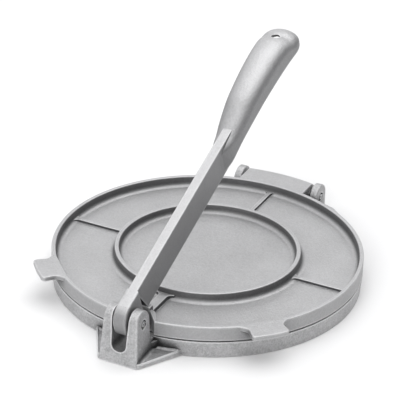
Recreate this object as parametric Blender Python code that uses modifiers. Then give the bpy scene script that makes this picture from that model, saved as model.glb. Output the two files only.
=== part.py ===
# Tortilla press of cast aluminium: a round base, a hinged lid and a lever in a front fork.
# Metres, +Z up. The press stands on Z = 0, its fork at -Y and its hinge at +Y.
# Outlines are drawn about the axis of the round plates, and press_frame then centres
# the whole press on the origin.
import math

import bmesh
import bpy
from mathutils import Matrix, Vector

# Castings in general
cast_edge = 0.0008
cast_fillet = 0.002
seat_gap = 0.0003
overrun = 0.001
merge_distance = 0.00001
turned_steps = 72
arc_step = math.radians(15)
profile_arc_step = math.radians(30)
smooth_angle = math.radians(35)

# Base plate, open underneath behind a skirt
base_height = 0.012
base_overhang = 0.00015
base_taper = 0.00095
base_plate_thickness = 0.0035
base_skirt_thickness = 0.003
base_ring_foot = 0.001
base_rib_depth = 0.003

# Lid plate, with a rim and a ring on top
lid_radius = 0.1016
lid_height = 0.0097
lid_plate_thickness = 0.0031
lid_centre_rise = 0.0008
lid_rim_width = 0.0027
wall_draft = 0.0009
lid_fillet = 0.0034

# Ring and ribs, the same above the lid and under the base
ring_radius_share = 0.57
ring_width = 0.0028
rib_half_width = 0.0015
rib_flare = 0.003
lid_rib_height = 0.0017

# Pads on the lid's rim for lifting it, one each side of the fork
tab_reach = 0.0131
tab_angle = math.radians(46)
tab_half_angle = math.radians(6.2)
tab_root_half_angle = math.radians(9.5)
tab_thickness = 0.0032
tab_corner = 0.0025
tab_neck = 0.003
tab_fillet = 0.005

# Lever: places along the bar (s) and across it (n) from its pin
lever_pitch = math.radians(22.65)
bar_width = 0.0063
bar_top = 0.013
bar_bottom = 0.0102
bar_edge = 0.0004
heel_along = 0.0202
hub_width = 0.0088
hub_radius = 0.0093
hub_rear = 0.0137
hub_nose_round = 0.0105
hub_edge = 0.0012
neck_depth = 0.0058
bar_sweep_share = 0.161
bar_sweep_round = 0.02
bar_web_share = 0.458

# Grip: half a tube, open below, that grows out of the bar and turns down at its tip
grip_start = 0.134
grip_length = 0.118
grip_half_width = 0.013
grip_top = 0.0253
grip_low = 0.008
grip_wall = 0.0032
grip_crown_share = 0.6
# Each station: its place, half width, top and lower edge, as shares of the four above
grip_station_shares = (
    (0.000, 0.22, 0.36, -1.05),
    (0.070, 0.47, 0.43, -0.60),
    (0.136, 0.58, 0.49, -0.11),
    (0.195, 0.67, 0.59, 0.31),
    (0.263, 0.73, 0.715, 0.56),
    (0.347, 0.77, 0.86, 0.74),
    (0.449, 0.81, 0.94, 0.90),
    (0.559, 0.86, 0.985, 1.00),
    (0.669, 0.89, 1.00, 1.00),
    (0.771, 0.93, 0.96, 0.97),
    (0.822, 0.97, 0.89, 0.96),
    (0.864, 1.00, 0.785, 0.95),
)
grip_hollow_share = 0.195
grip_tip_steps = 6
grip_tip_top_share = 0.10
grip_tip_low_share = 0.15
grip_hole_radius = 0.0026
grip_hole_share = 0.83

# Fork on the base
fork_pin_reach = 0.0116
fork_pin_rise = 0.004
fork_foot_reach = 0.0228
fork_lean = 0.0036
fork_rear_reach = 0.0034
fork_ear_rise = 0.0093
fork_foot_half_width = 0.0132
fork_top_half_width = 0.0113
fork_front_round = 0.0064
fork_rear_round = 0.0092
fork_web_drop = 0.001
fork_edge = 0.0015
fork_side_gap = 0.0004
slot_depth = 0.0175
slot_flare = 0.0012

# Triangular feet beside the fork
gusset_reach_x = 0.0299
gusset_front_x = 0.014
gusset_height = 0.0038
gusset_lip = 0.0014
gusset_recess = 0.0014
gusset_corner = 0.001

# Notch in the lid round the lever, its wall, and the pad that the lever presses
notch_mouth_half_width = 0.0134
notch_end_half_width = 0.0048
notch_wall = 0.0025
notch_round = 0.0025
pad_lead = 0.0004
pad_length = 0.005
pad_half_width = 0.0045
front_rib_half_width = 0.0032
front_rib_height = 0.0029

# Rear hinge
hinge_reach = 0.0124
hinge_rise = 0.002
wing_half_width = 0.024
wing_reach = 0.0164
wing_thickness = 0.0032
wing_drop = 0.0001
wing_lip_thickness = 0.0026
wing_lip_depth = 0.006
lug_width = 0.0045
lug_radius = 0.0072
ear_side_gap = 0.002
ear_thickness = 0.0054
ear_radius = 0.0087
ear_foot = 0.0006
ear_sink = 0.0004
ear_fillet = 0.003
hinge_pocket_gap = 0.0008
flange_drop = 0.0008
flange_reach = 0.0152
flange_full_angle = math.radians(22)
flange_end_angle = math.radians(48)
flange_steps = 10

# Coiled spring pins
pin_radius = 0.00238
pin_sheet_share = 0.19
pin_gap_share = 0.06
pin_turns = 2.25
pin_steps_per_turn = 16
pin_recess = 0.0003

# Finish
aluminium_colour = (0.56, 0.56, 0.57, 1)
steel_colour = (0.33, 0.33, 0.34, 1)
aluminium_roughness = 0.42
steel_roughness = 0.3

# Places that follow from the sizes above
base_top = base_height
base_top_radius = lid_radius + base_overhang
base_foot_radius = base_top_radius - base_taper
ring_inner_radius = lid_radius * ring_radius_share
ring_outer_radius = ring_inner_radius + ring_width
lid_bottom = base_top + seat_gap
lid_top = lid_bottom + lid_height
lid_floor = lid_bottom + lid_plate_thickness
fork_pin_y = -lid_radius - fork_pin_reach
fork_pin_z = lid_top + fork_pin_rise
fork_foot_y = -lid_radius - fork_foot_reach
fork_rear_y = -lid_radius - fork_rear_reach
fork_top = fork_pin_z + fork_ear_rise
slot_floor = fork_pin_z - slot_depth
hinge_y = lid_radius + hinge_reach
hinge_z = base_top + hinge_rise
wing_radius = lid_radius + wing_reach
flange_radius = lid_radius + flange_reach
tab_radius = lid_radius + tab_reach
heel_y = fork_pin_y + heel_along * math.cos(lever_pitch) + bar_bottom * math.sin(lever_pitch)
heel_z = fork_pin_z + heel_along * math.sin(lever_pitch) - bar_bottom * math.cos(lever_pitch)
notch_end_y = heel_y - pad_lead
pad_top = heel_z - seat_gap
slot_half_width = hub_width / 2 + fork_side_gap
ear_inner_x = wing_half_width + ear_side_gap
ear_outer_x = ear_inner_x + ear_thickness
flange_top = base_top - flange_drop
rear_reach = hinge_y + ear_radius
press_shift_y = (-fork_foot_y - rear_reach) / 2
skirt_middle_radius = base_foot_radius - base_skirt_thickness / 2
rim_middle_radius = lid_radius - lid_rim_width / 2
# Clear of the lid's rear edge, which sweeps round the hinge pins
hinge_pocket = math.hypot(wing_radius - hinge_y, lid_top - hinge_z) + hinge_pocket_gap
bar_sweep_start = grip_start + bar_sweep_share * grip_length
bar_web_end = grip_start + bar_web_share * grip_length
grip_hole_along = grip_start + grip_hole_share * grip_length
pin_sheet = pin_radius * pin_sheet_share
pin_sheet_gap = pin_radius * pin_gap_share

along_y = Matrix(((0, 0, 1, 0), (1, 0, 0, 0), (0, 1, 0, 0), (0, 0, 0, 1)))
along_z = Matrix.Identity(4)
front_view = Matrix.Rotation(math.radians(90), 4, "X")


def clear_scene():
    for item in list(bpy.data.objects):
        bpy.data.objects.remove(item, do_unlink=True)


def new_collection(name):
    collection = bpy.data.collections.new(name)
    bpy.context.scene.collection.children.link(collection)
    return collection


def new_material(name, colour, roughness, metallic):
    material = bpy.data.materials.new(name)
    material.use_nodes = True
    shader = material.node_tree.nodes["Principled BSDF"]
    shader.inputs["Base Color"].default_value = colour
    shader.inputs["Roughness"].default_value = roughness
    shader.inputs["Metallic"].default_value = metallic
    material.diffuse_color = colour
    return material


def rounded_outline(corners, closed=True, arc_step=arc_step):
    # Corners are (x, y, radius). Each radius becomes an arc that touches both sides.
    points = []
    last = len(corners) - 1
    for index, (x, y, radius) in enumerate(corners):
        here = Vector((x, y))
        if radius == 0 or (not closed and index in (0, last)):
            points.append(here)
            continue
        before = Vector(corners[index - 1][:2]) - here
        after = Vector(corners[(index + 1) % len(corners)][:2]) - here
        before.normalize()
        after.normalize()
        half_angle = before.angle(after) / 2
        start = here + before * radius / math.tan(half_angle)
        end = here + after * radius / math.tan(half_angle)
        centre = here + (before + after).normalized() * radius / math.sin(half_angle)
        first = start - centre
        second = end - centre
        turn = math.atan2(first.x * second.y - first.y * second.x, first.dot(second))
        steps = max(1, round(abs(turn) / arc_step))
        for step in range(steps + 1):
            spoke = Vector(first)
            spoke.rotate(Matrix.Rotation(turn * step / steps, 2))
            points.append(centre + spoke)
    return points


def arc_points(radius, start, end, steps):
    # Points about the plates' axis, from one angle to another
    angles = [start + (end - start) * step / steps for step in range(steps + 1)]
    return [Vector((radius * math.cos(angle), radius * math.sin(angle))) for angle in angles]


def mesh_object(name, mesh, collection):
    made = bpy.data.objects.new(name, mesh)
    collection.objects.link(made)
    return made


def tidy_mesh(mesh):
    shape = bmesh.new()
    shape.from_mesh(mesh)
    bmesh.ops.remove_doubles(shape, verts=shape.verts, dist=merge_distance)
    bmesh.ops.recalc_face_normals(shape, faces=shape.faces)
    shape.to_mesh(mesh)
    shape.free()
    mesh.shade_smooth()
    mesh.set_sharp_from_angle(angle=smooth_angle)


def flat_solid(name, outline, low, high, view=along_z, edge=0.0):
    # An outline of even thickness, its long edges rounded by edge
    curve = bpy.data.curves.new(name, "CURVE")
    curve.dimensions = "2D"
    curve.fill_mode = "BOTH"
    curve.extrude = (high - low) / 2 - edge
    curve.bevel_depth = edge
    curve.bevel_resolution = 1
    curve.offset = -edge
    spline = curve.splines.new("POLY")
    spline.points.add(len(outline) - 1)
    for point, place in zip(spline.points, outline):
        point.co = (place[0], place[1], 0, 1)
    spline.use_cyclic_u = True
    drawn = bpy.data.objects.new(name, curve)
    tools.objects.link(drawn)
    drawn.matrix_world = view @ Matrix.Translation((0, 0, (low + high) / 2))
    bpy.context.view_layer.update()
    evaluated = drawn.evaluated_get(bpy.context.evaluated_depsgraph_get())
    mesh = bpy.data.meshes.new_from_object(evaluated)
    mesh.transform(drawn.matrix_world)
    bpy.data.objects.remove(drawn, do_unlink=True)
    tidy_mesh(mesh)
    return mesh_object(name, mesh, tools)


def turned_solid(name, profile, collection):
    mesh = bpy.data.meshes.new(name)
    edges = [(index, index + 1) for index in range(len(profile) - 1)]
    mesh.from_pydata([(point[0], 0, point[1]) for point in profile], edges, [])
    made = mesh_object(name, mesh, collection)
    screw = made.modifiers.new("Turn", "SCREW")
    screw.axis = "Z"
    screw.steps = turned_steps
    screw.render_steps = turned_steps
    screw.use_merge_vertices = True
    screw.merge_threshold = merge_distance
    screw.use_smooth_shade = True
    return made


def rod(name, radius, start_x, end_x, y, z):
    bpy.ops.mesh.primitive_cylinder_add(
        vertices=24,
        radius=radius,
        depth=end_x - start_x,
        location=((start_x + end_x) / 2, y, z),
        rotation=(0, math.radians(90), 0),
    )
    made = bpy.context.object
    made.name = name
    for collection in list(made.users_collection):
        collection.objects.unlink(made)
    tools.objects.link(made)
    return made


def combine(target, tool, operation):
    # Adds or takes away a tool, which stays as a guide that moves with its target
    boolean = target.modifiers.new(tool.name, "BOOLEAN")
    boolean.operation = operation
    boolean.solver = "EXACT"
    boolean.object = tool
    tool.parent = target
    tool.hide_render = True
    tool.display_type = "WIRE"


def add(target, *tools_added):
    for tool in tools_added:
        combine(target, tool, "UNION")


def cut(target, *tools_cut):
    for tool in tools_cut:
        combine(target, tool, "DIFFERENCE")


def mirrored(corners):
    # Corners of the right half, then the same on the left, so that the outline is closed
    left = [(-x, y, radius) for x, y, radius in reversed(corners)]
    return corners + left


def rib_outline(start, end, half_width, flare):
    # A straight rib along +X whose ends spread into the walls that it joins
    wide = half_width + flare
    corners = [
        (start - overrun, -wide, 0),
        (start, -wide, 0),
        (start, -half_width, flare),
        (end, -half_width, flare),
        (end, -wide, 0),
        (end + overrun, -wide, 0),
        (end + overrun, wide, 0),
        (end, wide, 0),
        (end, half_width, flare),
        (start, half_width, flare),
        (start, wide, 0),
        (start - overrun, wide, 0),
    ]
    return rounded_outline(corners)


def rib(name, angle, start, end, half_width, flare, low, high, edge=0.0):
    made = flat_solid(name, rib_outline(start, end, half_width, flare), low, high, edge=edge)
    made.data.transform(Matrix.Rotation(angle, 4, "Z"))
    return made


def base_profile():
    plate_under = base_top - base_plate_thickness
    inner_foot = base_foot_radius - base_skirt_thickness
    return rounded_outline(
        [
            (0, base_top, 0),
            (base_top_radius, base_top, cast_edge),
            (base_foot_radius, 0, cast_edge),
            (inner_foot, 0, cast_edge),
            (inner_foot - wall_draft, plate_under, cast_fillet),
            (ring_outer_radius + wall_draft, plate_under, cast_fillet),
            (ring_outer_radius, base_ring_foot, cast_edge),
            (ring_inner_radius, base_ring_foot, cast_edge),
            (ring_inner_radius - wall_draft, plate_under, cast_fillet),
            (0, plate_under, 0),
        ],
        closed=False,
        arc_step=profile_arc_step,
    )


def lid_profile():
    centre_floor = lid_floor + lid_centre_rise
    rim_inner = lid_radius - lid_rim_width
    return rounded_outline(
        [
            (0, centre_floor, 0),
            (ring_inner_radius - wall_draft, centre_floor, lid_fillet),
            (ring_inner_radius, lid_top, cast_edge),
            (ring_outer_radius, lid_top, cast_edge),
            (ring_outer_radius + wall_draft, lid_floor, lid_fillet),
            (rim_inner - wall_draft, lid_floor, lid_fillet),
            (rim_inner, lid_top, cast_edge),
            (lid_radius, lid_top, cast_edge),
            (lid_radius, lid_bottom, cast_edge),
            (0, lid_bottom, 0),
        ],
        closed=False,
        arc_step=profile_arc_step,
    )


def fork_solid():
    # Side view of both ears, the block under them and the web back to the base
    web_top = base_top - fork_web_drop
    root_y = -skirt_middle_radius
    outline = rounded_outline(
        [
            (fork_foot_y, 0, 0),
            (fork_foot_y + fork_lean, fork_top, fork_front_round),
            (fork_rear_y, fork_top, fork_rear_round),
            (fork_rear_y, web_top, cast_fillet),
            (root_y, web_top, 0),
            (root_y, 0, 0),
        ]
    )
    half = fork_foot_half_width
    made = flat_solid("fork_block", outline, -half, half, along_y, fork_edge)
    for vertex in made.data.vertices:
        taper = (fork_foot_half_width - fork_top_half_width) * vertex.co.z / fork_top
        vertex.co.x *= 1 - taper / fork_foot_half_width
    return made


def slot_solid():
    wide = slot_half_width + slot_flare
    high = fork_top + overrun
    corners = [
        (slot_half_width, slot_floor, slot_half_width),
        (wide, high, 0),
    ]
    outline = rounded_outline(mirrored(corners))
    front = -fork_foot_y + overrun
    return flat_solid("fork_slot", outline, -fork_rear_y - overrun, front, front_view)


def gusset_solid(side):
    name = "right" if side > 0 else "left"
    root = skirt_middle_radius
    reach_y = -math.sqrt(base_foot_radius**2 - gusset_reach_x**2)
    root_y = -math.sqrt(root**2 - gusset_reach_x**2)
    inner_x = fork_top_half_width - fork_edge
    corners = [
        (side * inner_x, fork_foot_y, 0),
        (side * gusset_front_x, fork_foot_y, gusset_corner),
        (side * gusset_reach_x, reach_y, 0),
        (side * gusset_reach_x, root_y, 0),
        (side * inner_x, root_y, 0),
    ]
    foot = flat_solid("gusset_" + name, rounded_outline(corners), 0, gusset_height)
    edge_run = Vector((gusset_reach_x - gusset_front_x, reach_y - fork_foot_y)).normalized()
    inset = Vector((-edge_run.y, edge_run.x)) * gusset_lip
    recess_corners = [
        (side * inner_x, fork_foot_y + inset.y + gusset_lip, 0),
        (side * (gusset_front_x + inset.x), fork_foot_y + inset.y + gusset_lip, 0),
        (side * (gusset_reach_x + inset.x), reach_y + inset.y, 0),
        (side * inner_x, root_y, 0),
    ]
    recess = flat_solid(
        "gusset_recess_" + name,
        rounded_outline(recess_corners),
        gusset_height - gusset_recess,
        gusset_height + overrun,
    )
    cut(foot, recess)
    return foot


def flange_solid():
    # The base spreads out behind to carry the hinge ears
    right = []
    for step in range(flange_steps + 1):
        share = step / flange_steps
        angle = flange_end_angle + (flange_full_angle - flange_end_angle) * share
        radius = skirt_middle_radius + (flange_radius - skirt_middle_radius) * share
        right.append(Vector((radius * math.sin(angle), radius * math.cos(angle))))
    ear_x = ear_inner_x + cast_edge
    right.append(Vector((ear_x, math.sqrt(flange_radius**2 - ear_x**2))))
    right.append(Vector((ear_x, hinge_y)))
    left = [Vector((-place.x, place.y)) for place in reversed(right)]
    start = math.radians(90) + flange_end_angle
    end = math.radians(90) - flange_end_angle
    inner = arc_points(skirt_middle_radius, start, end, flange_steps * 2)[1:-1]
    flange = flat_solid("hinge_flange", right + left + inner, 0, flange_top)
    pocket = rod("hinge_pocket", hinge_pocket, -ear_inner_x, ear_inner_x, hinge_y, hinge_z)
    cut(flange, pocket)
    return flange


def ear_solid(side):
    name = "right" if side > 0 else "left"
    root_y = math.sqrt(skirt_middle_radius**2 - ear_outer_x**2)
    root_top = flange_top - ear_sink
    outline = rounded_outline(
        [
            (root_y, ear_foot, 0),
            (root_y, root_top, 0),
            (hinge_y - ear_radius, root_top, ear_fillet),
            (hinge_y - ear_radius, hinge_z + ear_radius, ear_radius),
            (rear_reach, hinge_z + ear_radius, ear_radius),
            (rear_reach, ear_foot, cast_edge),
        ]
    )
    low = min(side * ear_inner_x, side * ear_outer_x)
    high = max(side * ear_inner_x, side * ear_outer_x)
    return flat_solid("hinge_ear_" + name, outline, low, high, along_y, cast_edge)


def make_base():
    base = turned_solid("base_plate", base_profile(), parts)
    rib_start = ring_outer_radius + wall_draft
    rib_end = base_foot_radius - base_skirt_thickness - wall_draft
    under = base_top - base_plate_thickness
    for quarter in range(4):
        add(
            base,
            rib(
                "base_rib_%d" % quarter,
                math.radians(90) * quarter,
                rib_start,
                rib_end,
                rib_half_width,
                rib_flare,
                under - base_rib_depth,
                under + overrun,
            ),
        )
    add(base, flange_solid())
    for side in (-1, 1):
        add(base, ear_solid(side))
    for side in (-1, 1):
        add(base, gusset_solid(side))
    add(base, fork_solid())
    cut(base, slot_solid())
    bore = pin_radius + seat_gap
    reach = fork_foot_half_width + overrun
    cut(base, rod("fork_bore", bore, -reach, reach, fork_pin_y, fork_pin_z))
    reach = ear_outer_x + overrun
    cut(base, rod("ear_bore", bore, -reach, reach, hinge_y, hinge_z))
    return base


def tab_solid(side):
    name = "right" if side > 0 else "left"
    middle = math.radians(-90) + side * tab_angle
    rim = rim_middle_radius
    corners = []
    for angle, radius, rounding in (
        (-tab_root_half_angle, rim, 0),
        (-tab_root_half_angle, lid_radius - cast_edge, 0),
        (-tab_half_angle, lid_radius + tab_neck, tab_fillet),
        (-tab_half_angle, tab_radius, tab_corner),
        (0, tab_radius, tab_radius / 2),
        (tab_half_angle, tab_radius, tab_corner),
        (tab_half_angle, lid_radius + tab_neck, tab_fillet),
        (tab_root_half_angle, lid_radius - cast_edge, 0),
        (tab_root_half_angle, rim, 0),
    ):
        place = middle + angle
        corners.append((radius * math.cos(place), radius * math.sin(place), rounding))
    outline = rounded_outline(corners)
    return flat_solid("tab_" + name, outline, lid_top - tab_thickness, lid_top)


def wing_solid():
    # The lid's rear wing, rounded like the rim that it grows out of
    half_angle = math.asin(wing_half_width / wing_radius)
    root_half_angle = math.asin(wing_half_width / rim_middle_radius)
    middle = math.radians(90)
    outline = arc_points(wing_radius, middle - half_angle, middle + half_angle, 8)
    outline += arc_points(rim_middle_radius, middle + root_half_angle, middle - root_half_angle, 8)
    return flat_solid("wing", outline, lid_top - wing_thickness, lid_top - wing_drop)


def lip_solid():
    half_angle = math.asin(wing_half_width / wing_radius)
    start = math.radians(90) - half_angle
    end = math.radians(90) + half_angle
    outline = arc_points(wing_radius, start, end, 8)
    outline += arc_points(wing_radius - wing_lip_thickness, end, start, 8)
    return flat_solid("wing_lip", outline, lid_top - wing_lip_depth, lid_top - cast_edge)


def lug_solid(side):
    name = "right" if side > 0 else "left"
    root_y = math.sqrt(rim_middle_radius**2 - wing_half_width**2)
    root_low = lid_bottom + cast_edge
    outline = rounded_outline(
        [
            (root_y, root_low, 0),
            (root_y, lid_top - cast_edge, 0),
            (hinge_y, lid_top - cast_edge, 0),
            (hinge_y + lug_radius, hinge_z + lug_radius, lug_radius),
            (hinge_y + lug_radius, hinge_z - lug_radius, lug_radius),
            (hinge_y - lug_radius, hinge_z - lug_radius, lug_radius),
            (hinge_y - lug_radius, root_low, 0),
        ]
    )
    inner = side * (wing_half_width - lug_width)
    outer = side * (wing_half_width - seat_gap)
    return flat_solid("lug_" + name, outline, min(inner, outer), max(inner, outer), along_y)


def notch_outline(wall):
    # Outline of the notch, or of its wall's outer side when wall is more than zero.
    # The notch runs out past the lid's edge, and its wall ends inside the rim.
    mouth_y = -lid_radius - overrun
    if wall > 0:
        mouth_y = lid_rim_width - lid_radius
    slope = (notch_mouth_half_width - notch_end_half_width) / (lid_radius + notch_end_y)
    spread = slope * (-lid_radius - mouth_y)
    corners = [
        (notch_end_half_width + wall, notch_end_y + wall, notch_round + wall),
        (notch_mouth_half_width + wall + spread, mouth_y, 0),
    ]
    return rounded_outline(mirrored(corners))


def make_lid():
    lid = turned_solid("lid_plate", lid_profile(), parts)
    rim_foot = lid_radius - lid_rim_width - wall_draft
    rib_start = ring_outer_radius + wall_draft
    for name, angle in (("right", 0), ("rear", 90), ("left", 180)):
        add(
            lid,
            rib(
                "lid_rib_" + name,
                math.radians(angle),
                rib_start,
                rim_foot,
                rib_half_width,
                rib_flare,
                lid_floor - overrun,
                lid_floor + lid_rib_height,
            ),
        )
    add(
        lid,
        rib(
            "lid_rib_front",
            math.radians(-90),
            rib_start,
            -notch_end_y - notch_wall,
            front_rib_half_width,
            rib_flare,
            lid_floor - overrun,
            lid_floor + front_rib_height,
        ),
    )
    for side in (-1, 1):
        add(lid, tab_solid(side))
    add(lid, wing_solid(), lip_solid())
    for side in (-1, 1):
        add(lid, lug_solid(side))
    wall = flat_solid("notch_wall", notch_outline(notch_wall), lid_bottom + cast_edge, lid_top)
    add(lid, wall)
    pad_outline = [
        (-pad_half_width, notch_end_y - overrun),
        (pad_half_width, notch_end_y - overrun),
        (pad_half_width, notch_end_y + pad_length),
        (-pad_half_width, notch_end_y + pad_length),
    ]
    add(lid, flat_solid("press_pad", pad_outline, lid_floor - overrun, pad_top))
    opening = flat_solid("notch", notch_outline(0), lid_bottom - overrun, pad_top + overrun)
    cut(lid, opening)
    bore = pin_radius + seat_gap
    cut(lid, rod("lug_bore", bore, -ear_inner_x, ear_inner_x, hinge_y, hinge_z))
    return lid


def bar_solid():
    shoulder_top = bar_top - neck_depth
    apex_along = hub_rear
    outline = rounded_outline(
        [
            (0, bar_top, 0),
            (0, shoulder_top, 0),
            (apex_along, shoulder_top, 0),
            (heel_along, -bar_bottom, cast_edge / 2),
            (bar_sweep_start, -bar_bottom, bar_sweep_round),
            (bar_web_end, bar_top - neck_depth, 0),
            (bar_web_end, bar_top, 0),
        ]
    )
    return flat_solid("bar", outline, -bar_width / 2, bar_width / 2, along_y, bar_edge)


def hub_solid():
    outline = rounded_outline(
        [
            (-hub_radius, bar_top, hub_nose_round),
            (-hub_radius, -hub_radius, hub_radius),
            (hub_rear, -hub_radius, cast_fillet),
            (hub_rear, bar_top, 0),
        ]
    )
    return flat_solid("hub", outline, -hub_width / 2, hub_width / 2, along_y, hub_edge)


def grip_section(half_width, top, low, steps=12):
    # Upright walls under an elliptical crown, from the lower left edge to the right one
    crown = min(half_width * grip_crown_share, (top - low) * grip_crown_share)
    shoulder = top - crown
    points = [(-half_width, low)]
    for step in range(steps + 1):
        angle = math.pi * (1 - step / steps)
        points.append((half_width * math.cos(angle), shoulder + crown * math.sin(angle)))
    points.append((half_width, low))
    return points


def grip_stations():
    stations = []
    for along, width, top, low in grip_station_shares:
        place = grip_start + along * grip_length
        stations.append((place, width * grip_half_width, top * grip_top, low * grip_low))
    tip_start, tip_width, tip_top, tip_low = stations[-1]
    tip_length = grip_start + grip_length - tip_start
    for step in range(1, grip_tip_steps + 1):
        angle = math.radians(85) * step / grip_tip_steps
        shrink = math.cos(angle)
        top = tip_top * (grip_tip_top_share + (1 - grip_tip_top_share) * shrink)
        low = tip_low * (grip_tip_low_share + (1 - grip_tip_low_share) * shrink)
        stations.append((tip_start + tip_length * math.sin(angle), tip_width * shrink, top, low))
    return stations


def loft(name, sections):
    # Sections are (place along, points across), all with as many points
    shape = bmesh.new()
    rings = []
    for along, points in sections:
        rings.append([shape.verts.new((x, along, n)) for x, n in points])
    for ring, following in zip(rings, rings[1:]):
        for index in range(len(ring)):
            after = (index + 1) % len(ring)
            shape.faces.new((ring[index], ring[after], following[after], following[index]))
    shape.faces.new(rings[0])
    shape.faces.new(rings[-1])
    mesh = bpy.data.meshes.new(name)
    shape.to_mesh(mesh)
    shape.free()
    tidy_mesh(mesh)
    return mesh_object(name, mesh, tools)


def grip_solid():
    sections = [(along, grip_section(width, top, low)) for along, width, top, low in grip_stations()]
    return loft("grip", sections)


def grip_hollow():
    sections = []
    start = grip_start + grip_hollow_share * grip_length
    for along, width, top, low in grip_stations():
        if along < start - seat_gap or width < grip_wall * 2:
            continue
        section = grip_section(width - grip_wall, top - grip_wall, low - overrun)
        sections.append((along, section))
    return loft("grip_hollow", sections)


def make_lever():
    lever = bar_solid()
    lever.name = "lever"
    tools.objects.unlink(lever)
    parts.objects.link(lever)
    shell = grip_solid()
    cut(shell, grip_hollow())
    add(lever, hub_solid(), shell)
    reach = hub_width / 2 + overrun
    cut(lever, rod("hub_bore", pin_radius + seat_gap, -reach, reach, 0, 0))
    bpy.ops.mesh.primitive_cylinder_add(
        vertices=20,
        radius=grip_hole_radius,
        depth=grip_top * 2,
        location=(0, grip_hole_along, grip_top),
    )
    hole = bpy.context.object
    hole.name = "hanging_hole"
    for collection in list(hole.users_collection):
        collection.objects.unlink(hole)
    tools.objects.link(hole)
    cut(lever, hole)
    return lever


def coil_outline():
    # Cross-section of a sheet rolled up: out along one face and back along the other
    outer = []
    inner = []
    steps = round(pin_turns * pin_steps_per_turn)
    for step in range(steps + 1):
        turns = step / pin_steps_per_turn
        angle = turns * math.tau
        radius = pin_radius - turns * (pin_sheet + pin_sheet_gap)
        outer.append(Vector((radius * math.cos(angle), radius * math.sin(angle))))
        radius -= pin_sheet
        inner.append(Vector((radius * math.cos(angle), radius * math.sin(angle))))
    return outer + inner[::-1]


def make_pin(name, start_x, end_x, y, z):
    pin = flat_solid(name, coil_outline(), start_x, end_x, along_y)
    pin.data.transform(Matrix.Translation((0, y, z)))
    tools.objects.unlink(pin)
    parts.objects.link(pin)
    return pin


def empty(name, y, z, parent):
    made = bpy.data.objects.new(name, None)
    made.empty_display_size = hub_radius
    made.location = (0, y, z)
    made.parent = parent
    parts.objects.link(made)
    return made


clear_scene()
parts = new_collection("tortilla_press")
tools = new_collection("cutters")
aluminium = new_material("cast_aluminium", aluminium_colour, aluminium_roughness, 1)
lid_aluminium = new_material("lid_aluminium", aluminium_colour, aluminium_roughness, 1)
lever_aluminium = new_material("lever_aluminium", aluminium_colour, aluminium_roughness, 1)
steel = new_material("pin_steel", steel_colour, steel_roughness, 1)

press_frame = empty("press_frame", press_shift_y, 0, None)
lid_axis = empty("lid_axis", hinge_y, hinge_z, press_frame)
lever_axis = empty("lever_axis", fork_pin_y, fork_pin_z, press_frame)
lever_axis.rotation_euler.x = lever_pitch

base = make_base()
base.parent = press_frame
base.data.materials.append(aluminium)

lid = make_lid()
lid.parent = lid_axis
lid.location = (0, -hinge_y, -hinge_z)
lid.data.materials.append(lid_aluminium)

lever = make_lever()
lever.parent = lever_axis
lever.data.materials.append(lever_aluminium)

fork_half_width = fork_foot_half_width - (
    (fork_foot_half_width - fork_top_half_width) * fork_pin_z / fork_top
)
lever_pin = make_pin(
    "lever_pin",
    -fork_half_width + pin_recess,
    fork_half_width - pin_recess,
    fork_pin_y,
    fork_pin_z,
)
hinge_pin_right = make_pin(
    "hinge_pin_right",
    wing_half_width - lug_width,
    ear_outer_x - pin_recess,
    hinge_y,
    hinge_z,
)
hinge_pin_left = make_pin(
    "hinge_pin_left",
    -ear_outer_x + pin_recess,
    -wing_half_width + lug_width,
    hinge_y,
    hinge_z,
)
for pin in (lever_pin, hinge_pin_right, hinge_pin_left):
    pin.parent = press_frame
    pin.data.materials.append(steel)
bpy.context.view_layer.update()
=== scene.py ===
import bpy
import math
from mathutils import Matrix, Vector


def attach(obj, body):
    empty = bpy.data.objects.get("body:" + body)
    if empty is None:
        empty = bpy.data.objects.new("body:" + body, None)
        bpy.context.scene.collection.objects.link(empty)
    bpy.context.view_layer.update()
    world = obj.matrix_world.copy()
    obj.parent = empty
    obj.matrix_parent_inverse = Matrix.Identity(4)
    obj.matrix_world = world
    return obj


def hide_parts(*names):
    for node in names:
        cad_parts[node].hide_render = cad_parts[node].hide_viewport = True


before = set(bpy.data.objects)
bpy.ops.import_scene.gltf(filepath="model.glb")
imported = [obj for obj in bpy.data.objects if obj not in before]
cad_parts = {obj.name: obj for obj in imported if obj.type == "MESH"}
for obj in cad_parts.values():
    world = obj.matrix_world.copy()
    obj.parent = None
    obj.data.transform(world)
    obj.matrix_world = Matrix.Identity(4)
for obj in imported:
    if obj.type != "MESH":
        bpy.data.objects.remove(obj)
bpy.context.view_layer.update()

# views for flat outlines: drawn in Y and Z and thick along X, or drawn in X and Z and thick along Y
sideView = Matrix(((0, 0, 1, 0), (1, 0, 0, 0), (0, 1, 0, 0), (0, 0, 0, 1)))
frontView = Matrix.Rotation(math.radians(90), 4, "X")
topView = Matrix.Identity(4)

# small steps of the modelling itself, in metres
mergeGap = 0.000005  # corners closer than this become one
samePoint = 0.00002  # points of an outline closer than this are one
faceStep = 0.00003  # keeps two faces from lying in one plane
clear = 0.0001  # how far welded pieces run past each other
toolReach = 0.001  # how far a tool runs past what it cuts
sink = 0.001  # how far an added piece starts inside the one that carries it
ringTurn = 0.007  # radians, so that no corner of a ring lies exactly in a plane of symmetry


def select(piece):
    bpy.ops.object.select_all(action="DESELECT")
    piece.select_set(True)
    bpy.context.view_layer.objects.active = piece


def cleanMesh(piece):
    select(piece)
    bpy.ops.object.mode_set(mode="EDIT")
    bpy.ops.mesh.select_all(action="SELECT")
    bpy.ops.mesh.remove_doubles(threshold=mergeGap)
    bpy.ops.mesh.normals_make_consistent(inside=False)
    bpy.ops.object.mode_set(mode="OBJECT")


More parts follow.
